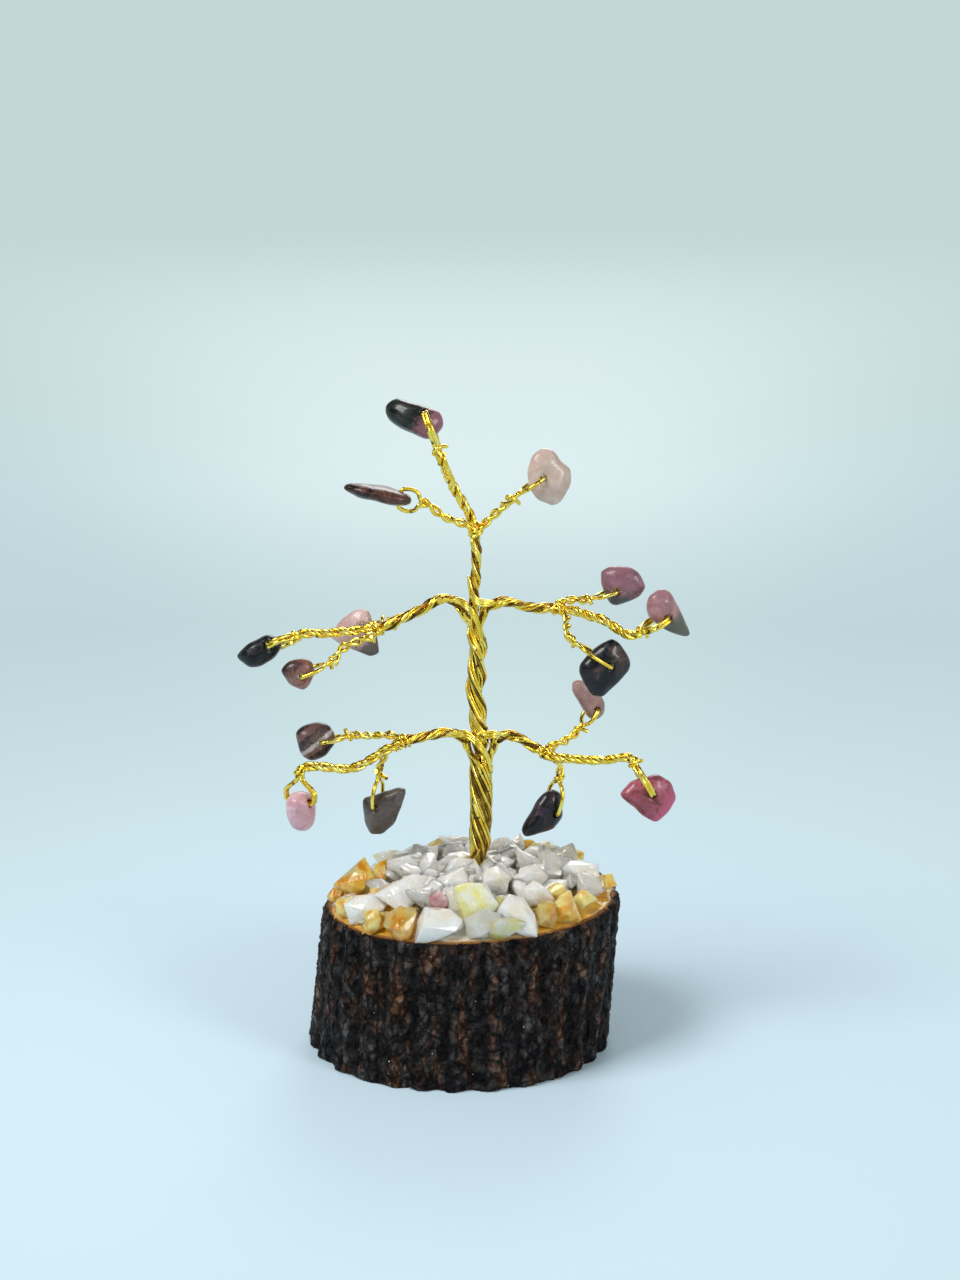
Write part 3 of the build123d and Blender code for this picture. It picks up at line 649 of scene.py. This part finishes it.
def add_wires(name, lines, radius, node):
    """Round gold wires along lines of points, as one mesh piece on the tree, some of them dark as painted
    shade.
    """
    curve = bpy.data.curves.new(name, "CURVE")
    curve.dimensions = "3D"
    curve.bevel_depth = radius * mm
    curve.bevel_resolution = 2
    curve.use_fill_caps = True
    curve.materials.append(gold)
    curve.materials.append(painted_shade)
    for index, line in enumerate(lines):
        spline = curve.splines.new("POLY")
        spline.points.add(len(line) - 1)
        for spot, point in zip(spline.points, line):
            spot.co = (*(point * mm), 1)
        spline.use_smooth = True
        # One strand in seven is drawn dark, as painted shade between the strands, in a branch, two in seven
        # in the trunk, none in a twig
        spline.material_index = len(lines) > 6 and index * 5 % 7 < 1 + (len(lines) > 20)
    shape = bpy.data.objects.new(name + "_shape", curve)
    mesh = bpy.data.meshes.new_from_object(shape)
    bpy.data.objects.remove(shape)
    mesh.name = name
    mesh.polygons.foreach_set("use_smooth", [True] * len(mesh.polygons))
    piece = bpy.data.objects.new(name, mesh)
    bpy.context.collection.objects.link(piece)
    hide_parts(node)
    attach(piece, "tree")


def wire_material(name, deep, middle_colour, bright):
    """Lacquered wire, whose colour varies a little, with a few dark flecks."""
    material, place, surface = new_material(name)
    blotch = place.noise(1.6, detail=2)
    fleck = place.noise(0.7, detail=1, roughness=0.4)
    colour = blotch.colours((0.35, deep), (0.5, middle_colour), (0.66, bright))
    colour = (fleck.step(0.67, 0.7) * 0.85).mix(colour, (0.06, 0.03, 0.02))
    finish_material(
        surface, Base_Color=colour, Metallic=1.0, Roughness=0.17 + 0.1 * blotch, Coat_Weight=0.45,
        Coat_Roughness=0.15,
    )
    return material


gold = wire_material("gold_wire", (0.88, 0.6, 0.04), (0.97, 0.72, 0.08), (1.0, 0.83, 0.2))
# Painted shade: a dark copy of the wire, given to some strands to stand for the shade in the gaps between
# them
painted_shade = wire_material("tarnished_wire", (0.12, 0.05, 0.001), (0.22, 0.1, 0.003), (0.5, 0.28, 0.015))


def eased(share):
    """0 below 0, 1 above 1, and smooth between them."""
    share = min(1, max(0, share))
    return share * share * (3 - 2 * share)


eight = packed((1, 0), (7, 0.42))


def roped(line, side, plies, ply_radius, pitch, heads, flare_run, unrest, seed=0):
    """Plies of strands laid round each other along a line, that leave their bundle near its end."""
    lines = [[] for strand in range(sum(len(ply) for ply in plies))]
    found = stations(line, side)
    length = found[-1][0]
    for run, point, side_way, across_way in found:
        turn = -2 * pi * (run - length) / pitch
        leave = eased(1 - (length - run) / flare_run)
        strand = 0
        for number, ply in enumerate(plies):
            centre = Vector((ply_radius * (1 + 0.2 * sin(run * 1.3 + number + seed)), 0))
            centre = turned(centre, turn + 2 * pi * number / len(plies))
            for spot in ply:
                loose = 1 + 0.1 * (strand * 5 % 7 - 3) / 3
                spot = centre + turned(spot * loose + drift(strand + seed, run, unrest), turn)
                spot = spot.lerp(heads[strand], leave)
                lines[strand].append(point + side_way * spot.x + across_way * spot.y)
                strand += 1
    return lines


def wraps(centre, heading, reach, radius, count, seed):
    """Wires wound round a knuckle or fork, whose cut ends stand out."""
    dice = random.Random(seed)
    side = heading.orthogonal().normalized()
    across = heading.cross(side)
    wires = []
    for wrap in range(count):
        start_turn, turns, slide = dice.uniform(0, 2 * pi), dice.uniform(0.6, 1.2), dice.uniform(-0.5, 0.5)
        wire = []
        for step in range(25):
            share = step / 24
            turn = start_turn + 2 * pi * turns * share
            out = radius * dice.uniform(0.97, 1.03) + 0.6 * max(0, share - 0.86) / 0.14
            ahead = heading * (slide + reach * (share - 0.5))
            wire.append(centre + ahead + (side * cos(turn) + across * sin(turn)) * out)
        wires.append(wire)
    return wires


def stretch_line(shares, low, high):
    """The middle line of one stretch of trunk, from its sways at shares of the height."""
    places = []
    for sway, share in shares:
        level = slice_height + low + (high - low) * share
        places.append(Vector((trunk_x + trunk_sway * sway, 0, level)))
    return route(places, up, up)


lower_line = stretch_line([(0, 0), (0, 0.28), (0.9, 0.64), (0.7, 1)], -socket_depth, lower_knuckle)
middle_line = stretch_line([(0.7, 0), (-0.6, 0.4), (0, 0.7), (-1, 1)], lower_knuckle, upper_knuckle)
top_line = stretch_line([(-1, 0), (-0.8, 0.3), (-0.3, 0.7), (-0.5, 1)], upper_knuckle, top_fork)

forty = sorted(packed((2, 0.2), (7, 0.54), (14, 0.9), (17, 1.22)), key=lambda spot: spot.x)
lower_seat = Vector((middle_radius + branch_radius + wire_play, 0))
three_ply = []
for ply in range(3):
    centre = turned(Vector((three_ply_radius, 0)), 2 * pi * ply / 3 + 0.5)
    three_ply += [centre + spot for spot in eight]
heads = [spot - lower_seat for spot in eight] + three_ply + [spot + lower_seat for spot in eight]
lines = roped(lower_line, right, [forty], 0, trunk_pitch, heads, flare_run=3.2, unrest=0.16)
# The foot is drawn together where it goes into the gravel
foot_squeeze = 0.4
foot_height = 8.2
foot_run = 3.2
foot_shift = 0.3
for line in lines:
    for point in line:
        squeeze = 1 - foot_squeeze * eased((slice_height + foot_height - point.z) / foot_run)
        point.x = trunk_x - foot_shift * (1 - squeeze) + (point.x - trunk_x) * squeeze
        point.y *= squeeze
# A small open ring of wire in front of the knuckle, and two ends that stand out at the foot
knuckle = lower_line[-1]
eye = []
for k in range(12):
    turn = k * 0.55
    eye.append(knuckle + Vector((0.5 * sin(turn), -2.0 + 0.1 * cos(k * 0.4), 1.3 + 0.5 * cos(turn))))
lines.append(eye)
ends = [Vector((0.2, -1.1, 7.2)), Vector((-0.5, -1.2, 6.0)), Vector((-1.4, -1.5, 5.3))]
for shift in (0, 0.4):
    start = Vector((trunk_x - shift, -shift / 2, slice_height))
    lines.append(route([start + spot for spot in ends], -up, -right - up))
add_wires("trunk_lower_strands", lines, packed_wire_radius, "trunk_lower")

upper_seat = Vector((2 * branch_radius + wire_play, 0))
heads = [spot - upper_seat for spot in eight] + eight + [spot + upper_seat for spot in eight]
lines = roped(
    middle_line, right, [eight] * 3, three_ply_radius, middle_pitch, heads,
    flare_run=3.0, unrest=0.12, seed=2.1,
)
add_wires("trunk_middle_strands", lines, packed_wire_radius, "trunk_middle")

# Forks
# Each branch and the tip of the trunk is eight strands twisted together. It parts into three
# twigs at its fork, where the wires are crossed and pressed, and the cut ends stand out.
away = Vector((0, 1, 0))
branch_reach = 13.0
branch_pitch = 6.4
branch_ply_radius = 0.37
# Trunk it leaves, half width beside it, side, way it points at its fork, bends as shares of the reach
branch_plans = {
    "upper_left": (
        middle_line, branch_radius, -1, (-1, -0.1, -0.3),
        [(-0.22, -0.02, 0.12), (-0.59, -0.09, 0), (-0.96, -0.15, -0.15)],
    ),
    "upper_right": (
        middle_line, branch_radius, 1, (1, 0.05, 0.02),
        [(0.24, 0.01, 0.085), (0.55, 0.04, 0.03), (0.85, 0.08, 0.015)],
    ),
    "lower_left": (
        lower_line, middle_radius, -1, (-1, -0.1, -0.1),
        [(-0.27, -0.02, 0.1), (-0.53, -0.07, 0.08), (-0.8, -0.115, 0.04)],
    ),
    "lower_right": (
        lower_line, middle_radius, 1, (1, -0.1, -0.15),
        [(0.26, -0.02, 0.07), (0.65, -0.08, -0.08)],
    ),
}
fork_lines, joining_wires = {}, {"top": []}
for name, (trunk_line, beside, way, heading, bends) in branch_plans.items():
    knuckle = trunk_line[-1]
    seat = knuckle + right * way * (beside + branch_radius + wire_play)
    line = route([seat] + [knuckle + Vector(bend) * branch_reach for bend in bends], up, heading)
    fork_lines[name] = line
    # From the left the joining wires run down over the front of the knuckle, from the right up over it
    if way < 0:
        below = beside + 0.4
        over = [Vector((-0.4, -below - 0.35, 0.5)), Vector((0.6 * below, -0.9 * below - 0.3, -1.5))]
        over.append(Vector((0.97 * below, -0.3 * below - 0.25, -3.4)))
    else:
        over = [Vector((0.5, -beside - 0.55, 1.6)), Vector((-0.5 * beside, -beside - 0.2, 2.9))]
        over.append(Vector((-beside, -0.1, 4.2)))
    joining_wires[name] = []
    for shift in (-0.3, 0.05, 0.4):
        joining = [line[len(line) // 3] + Vector((0, -0.4, 0.1 + shift * 0.8))]
        joining.append(seat + Vector((0, -0.7, 1.3 - shift)))
        joining += [knuckle + spot - up * shift for spot in over]
        joining_wires[name].append(route(joining, -right * way, Vector((0, 1, -0.6 * way))))
fork_lines["top"] = top_line
plies = [packed((3, 0.21)), packed((3, 0.21)), packed((2, 0.19))]
heads = packed((3, 0.35), (5, 0.72))
for number, (name, line) in enumerate(fork_lines.items()):
    node = "trunk_top" if name == "top" else name + "_branch"
    side = right if name == "top" else away
    lines = roped(
        line, side, plies, branch_ply_radius, branch_pitch, heads,
        flare_run=1.3, unrest=0.06, seed=number * 3.7,
    )
    lines += joining_wires[name]
    heading = (line[-1] - line[-3]).normalized()
    lines += wraps(line[-1], heading, reach=1.5, radius=0.8, count=3, seed=number)
    add_wires(node + "_strands", lines, strand_radius, node)

# Twigs
# A thin twig is one wire, doubled over and twisted, whose loop goes through the drilled stone.
# The main twig of each fork is two such wires together. Which way each leaves its fork is listed below.
twig_reach = 14.0
twig_pitch = 3.6
twist_radius = 0.32
twist_looseness = 0.14
main_twig_pitch = 4.0
main_twist_radius = 0.32
pair_radius = 0.18
twig_wire_radius = 0.27
main_twig_radius = strand_radius * sqrt(4 / packing_share)
leg_reach = strand_radius + wire_play
twig_spacing = (main_twig_radius + 2 * leg_reach) / sqrt(3)
loop_play = 0.22
loop_spacing = 0.22
swing = 20
# Fork, main twig, side of the fork it leaves from, how far it leans out, bends, way of the neck
twig_plans = {
    "top_left": ("top", True, (-0.5, 0.87, 0), 0, [(-0.22, 0, 0.44)], -72),
    "top_side": ("top", False, (-0.7, -0.7, 0), 0.6, [(-0.31, -0.04, 0.15)], 5),
    "top_right": ("top", False, (1, 0, 0), 0.6, [(0.25, -0.07, 0.24)], 214),
    "upper_left_tip": ("upper_left", True, (0, 0, 1), 0, [(-0.41, -0.04, -0.02)], 22),
    "upper_left_front": ("upper_left", False, (0, -0.87, -0.5), 0.6, [(-0.3, -0.16, -0.14)], 22),
    "upper_left_back": ("upper_left", False, (0, 1, -0.2), 4, [(0.05, 0.14, 0), (0.16, 0.25, -0.02)], 8),
    "upper_right_high": ("upper_right", False, (0, 0, 1), 0.6, [], 200),
    "upper_right_tip": ("upper_right", True, (0, 0.87, -0.5), 0, [(0.36, -0.1, -0.08)], 208),
    "upper_right_low": ("upper_right", False, (0, -0.87, -0.5), 0.6, [], 146),
    "lower_left_high": ("lower_left", False, (0, 0.2, 1), 0.6, [(-0.3, 0.12, 0.02)], 10),
    "lower_left_tip": ("lower_left", True, (0, -0.87, -0.5), 0, [(-0.42, -0.07, -0.23)], 90),
    "lower_left_hanging": ("lower_left", False, (0, 0.87, -0.5), 0.6, [], 86),
    "lower_right_high": ("lower_right", False, (0, 0.3, 1), 0.6, [], 232),
    "lower_right_tip": ("lower_right", True, (0, -0.87, -0.5), 0, [(0.5, -0.04, -0.07)], 120),
    "lower_right_hanging": ("lower_right", False, (0, 0.87, -0.5), 0.6, [], 78),
}
hinges = {joint["name"].replace("_swing", ""): joint for joint in frame["joints"]}


def hinge_place(name):
    """A chip's drilled hole, its axis and the two directions across the chip, in millimetres."""
    hole = Vector(hinges[name]["pos_m"]) / mm
    axis = Vector(hinges[name]["axis"]).normalized()
    level_way = (right - axis * right.dot(axis)).normalized()
    return hole, axis, level_way, axis.cross(level_way)


for number, (name, (fork_name, main, seat_way, leave, bends, neck_angle)) in enumerate(twig_plans.items()):
    # The loop clears the stone's faces and, all the way it swings, the stone's edge
    hole, axis, level_way, rise_way = hinge_place(name)
    chip = frame["nodes"][name + "_chip"].data
    corners = [vert.co / mm for vert in chip.vertices]
    skin = BVHTree.FromPolygons(corners, [list(face.vertices) for face in chip.polygons])
    thickness = 2 * max(abs((corner - hole).dot(axis)) for corner in corners)
    edge = 0
    for step in range(-4, 5):
        angle = radians(neck_angle + step * 0.35 * swing)
        way = level_way * cos(angle) + rise_way * sin(angle)
        edge = max(edge, (skin.ray_cast(hole + way * 20, -way)[0] - hole).length)
    way = level_way * cos(radians(neck_angle)) + rise_way * sin(radians(neck_angle))
    leg_height = thickness / 2 + twig_wire_radius + loop_play
    shoulder = edge + twig_wire_radius + loop_play
    neck = shoulder + leg_height - leg_reach
    fork_line = fork_lines[fork_name]
    fork = fork_line[-1]
    heading = (fork_line[-1] - fork_line[-2]).normalized()
    seat_way = Vector(seat_way)
    seat_way = (seat_way - heading * seat_way.dot(heading)).normalized()
    leaving = (heading + seat_way * leave).normalized()
    places = [fork + seat_way * twig_spacing] + [fork + Vector(bend) * twig_reach for bend in bends]
    places.append(hole + way * neck)
    found = stations(route(places, leaving, -way, spacing=0.15)[::-1], axis)[::-1]
    lines = []
    for strand in range(2 if main else 1):
        legs = ([], [])
        for run, point, side_way, across_way in found:
            if main:
                turn = 2 * pi * run / main_twig_pitch
                centre = turned(Vector((main_twist_radius, 0)), turn + pi * strand)
                spots = [centre + turned(Vector((0, pair_radius * leg)), turn) for leg in (1, -1)]
            else:
                turn = 2 * pi * run / twig_pitch
                slack = noise.noise(Vector((run * 0.9, number * 5.1, 3)))
                loose = twist_radius + twist_looseness * slack
                spots = [turned(Vector((loose * leg, 0)), turn) for leg in (1, -1)]
            for k, spot in enumerate(spots):
                spot = spot + drift(number * 4 + strand * 2 + k, run, 0.12) * min(1, run)
                legs[k].append(point + side_way * spot.x + across_way * spot.y)
        # Out from the neck, round the shoulder and in along the stone's face to the hole, then back
        lateral = (1 - 2 * strand) * loop_spacing if main else 0
        across = axis.cross(-way)
        half = [(neck - 0.5, 0.3), (shoulder + 0.05, leg_height * 0.8), (shoulder - 0.5, leg_height)]
        half += [(0.7, leg_height), (0.12, leg_height - 0.22), (0, leg_height - 0.5), (0, leg_height - 0.8)]
        profile = half + [(out, -height) for out, height in reversed(half)]
        loop = [hole + way * out + axis * height + across * lateral for out, height in profile]
        ends = [legs[0][-1]] + loop + [legs[1][-1]]
        bend_line = route(ends, legs[0][-1] - legs[0][-2], legs[1][-2] - legs[1][-1], spacing=0.15)
        lines.append(legs[0][:-1] + bend_line + legs[1][:-1][::-1])
    lines += wraps(found[-1][1], -way, reach=0.9, radius=0.5 + 0.12 * main, count=1, seed=number + 20)
    add_wires(name + "_looped_wire", lines, twig_wire_radius, name + "_wire")

# Stone chips
# Tumbled chips of dark and pink stone, each drilled through and polished. Every one has its own
# colours: dark veins in pink, brown blotches, stripes, two colours side by side, or a pale body.
ink = (0.006, 0.007, 0.008)
# Deep, middle and pale colours, and their balance
chip_looks = {
    "top_left": ((0.004, 0.006, 0.005), (0.02, 0.027, 0.022), (0.1, 0.05, 0.04), 0.55),
    "top_side": (ink, (0.1, 0.04, 0.03), (0.2, 0.085, 0.06), 0.5),
    "top_right": ((0.5, 0.36, 0.3), (0.6, 0.45, 0.38), (0.68, 0.54, 0.48), 0.5),
    "upper_left_tip": ((0.003, 0.004, 0.005), (0.012, 0.015, 0.017), (0.1, 0.12, 0.12), 0.6),
    "upper_left_front": ((0.15, 0.055, 0.045), (0.26, 0.11, 0.085), (0.4, 0.22, 0.19), 0.47),
    "upper_left_back": ((0.45, 0.27, 0.25), (0.58, 0.37, 0.34), (0.68, 0.5, 0.48), 0.5),
    "upper_right_high": ((0.1, 0.05, 0.07), (0.26, 0.12, 0.155), (0.38, 0.17, 0.21), 0.45),
    "upper_right_tip": ((0.24, 0.13, 0.14), (0.4, 0.2, 0.215), (0.5, 0.28, 0.29), 0.47),
    "upper_right_low": ((0.003, 0.004, 0.007), (0.016, 0.016, 0.021), (0.14, 0.075, 0.055), 0.54),
    "lower_left_high": ((0.012, 0.008, 0.009), (0.04, 0.026, 0.026), (0.16, 0.1, 0.09), 0.5),
    "lower_left_tip": ((0.55, 0.29, 0.34), (0.68, 0.38, 0.43), (0.78, 0.55, 0.6), 0.5),
    "lower_left_hanging": ((0.06, 0.048, 0.045), (0.11, 0.088, 0.08), (0.17, 0.14, 0.13), 0.5),
    "lower_right_high": ((0.28, 0.15, 0.14), (0.38, 0.21, 0.19), (0.46, 0.28, 0.26), 0.5),
    "lower_right_tip": ((0.17, 0.045, 0.04), (0.42, 0.1, 0.15), (0.58, 0.22, 0.28), 0.5),
    "lower_right_hanging": ((0.003, 0.003, 0.004), (0.014, 0.012, 0.018), (0.09, 0.055, 0.075), 0.55),
}
# A second colour that takes up one side of a chip: its way, how far from the hole it starts, colour
second_colours = {
    "top_left": (-40, 0.2, (0.3, 0.12, 0.15)),
    "top_side": (0, 1.4, (0.035, 0.04, 0.036)),
    "upper_left_front": (135, 1.3, (0.035, 0.022, 0.024)),
    "upper_left_back": (-50, 1.6, (0.12, 0.095, 0.085)),
    "upper_right_high": (-95, 0.3, (0.08, 0.088, 0.095)),
    "upper_right_tip": (-55, 0.4, (0.13, 0.125, 0.105)),
    "lower_right_high": (-60, 1.5, (0.3, 0.27, 0.2)),
    "lower_right_tip": (-40, 2.0, (0.56, 0.1, 0.19)),
}
grinding_size = 0.15
grinding_passes = 45
bore_collar = 0.75
chip_swell = 0.1
dent_depth = 0.16
for number, (name, (deep, middle_colour, pale, balance)) in enumerate(chip_looks.items()):
    # The solid's edges are ground round and its faces dented, but not near its drilled hole
    hole, axis, level_way, rise_way = hinge_place(name)
    node = frame["nodes"][name + "_chip"]
    rough = bpy.data.objects.new(name + "_rough", node.data.copy())
    bpy.context.collection.objects.link(rough)
    remesh = rough.modifiers.new("ground", "REMESH")
    remesh.mode = "VOXEL"
    remesh.voxel_size = grinding_size * mm
    bpy.context.view_layer.update()
    shaped = rough.evaluated_get(bpy.context.evaluated_depsgraph_get()).to_mesh()
    form = bmesh.new()
    form.from_mesh(shaped)
    rough.to_mesh_clear()
    bpy.data.objects.remove(rough)
    tumbled = []
    for vert in form.verts:
        arm = vert.co / mm - hole
        if (arm - axis * arm.dot(axis)).length > bore_collar:
            tumbled.append(vert)
    every_way = {"use_axis_x": True, "use_axis_y": True, "use_axis_z": True}
    for grinding in range(grinding_passes):
        bmesh.ops.smooth_vert(form, verts=tumbled, factor=0.5, **every_way)
    form.normal_update()
    for vert in tumbled:
        dent = noise.noise((vert.co / mm - hole) * 0.5 + Vector((number * 3, 0, 0)))
        vert.co += vert.normal * (chip_swell + dent_depth * dent) * mm
    form.verts.index_update()
    points = [vert.co / mm for vert in form.verts]
    faces = [[vert.index for vert in face.verts] for face in form.faces]
    form.free()
    material, place, surface = new_material(name + "_stone")
    body = place.noise(2.4, detail=5, roughness=0.6, distortion=0.9)
    vein = place.noise(1.3, detail=4, roughness=0.7, distortion=1.6)
    colour = body.colours((balance - 0.16, deep), (balance, middle_colour), (balance + 0.16, pale))
    centre_line = vein - 0.5
    dark_vein = (1 - centre_line.maths("ABSOLUTE", centre_line).step(0.0, 0.03)) * 0.45
    colour = dark_vein.mix(colour, deep)
    if name in second_colours:
        second_angle, second_start, second_colour = second_colours[name]
        second_way = level_way * cos(radians(second_angle)) + rise_way * sin(radians(second_angle))
        second = place.along(second_way, hole * mm) + (vein + body) * 0.004 - 0.004
        second_side = second.step((second_start - 1) * mm, (second_start + 1) * mm)
        colour = second_side.mix(colour, second_colour)
    # The striped chip has brown bands and one pale streak
    if name == "lower_left_high":
        stripe = place.along(level_way * 0.6 - rise_way * 0.8, hole * mm) * 2600 + vein * 2
        colour = stripe.maths("SINE", stripe).step(0.2, 0.6).mix(colour, (0.17, 0.09, 0.08))
        streak = place.along(level_way * 0.62 - rise_way * 0.78, hole * mm) + vein * 0.0006
        colour = (1 - streak.maths("ABSOLUTE", streak).step(0.0001, 0.0004)).mix(colour, (0.5, 0.45, 0.45))
    finish_material(
        surface, Base_Color=colour, Roughness=0.2 + 0.2 * vein, Specular_IOR_Level=0.2,
        Coat_Weight=0.3, Coat_Roughness=0.04, Normal=body.bump(0.12),
    )
    body_name, node = name + "_stone", name + "_chip"
    add_piece(name + "_polished_chip", points, faces, material, body_name, node + "_stone", node)
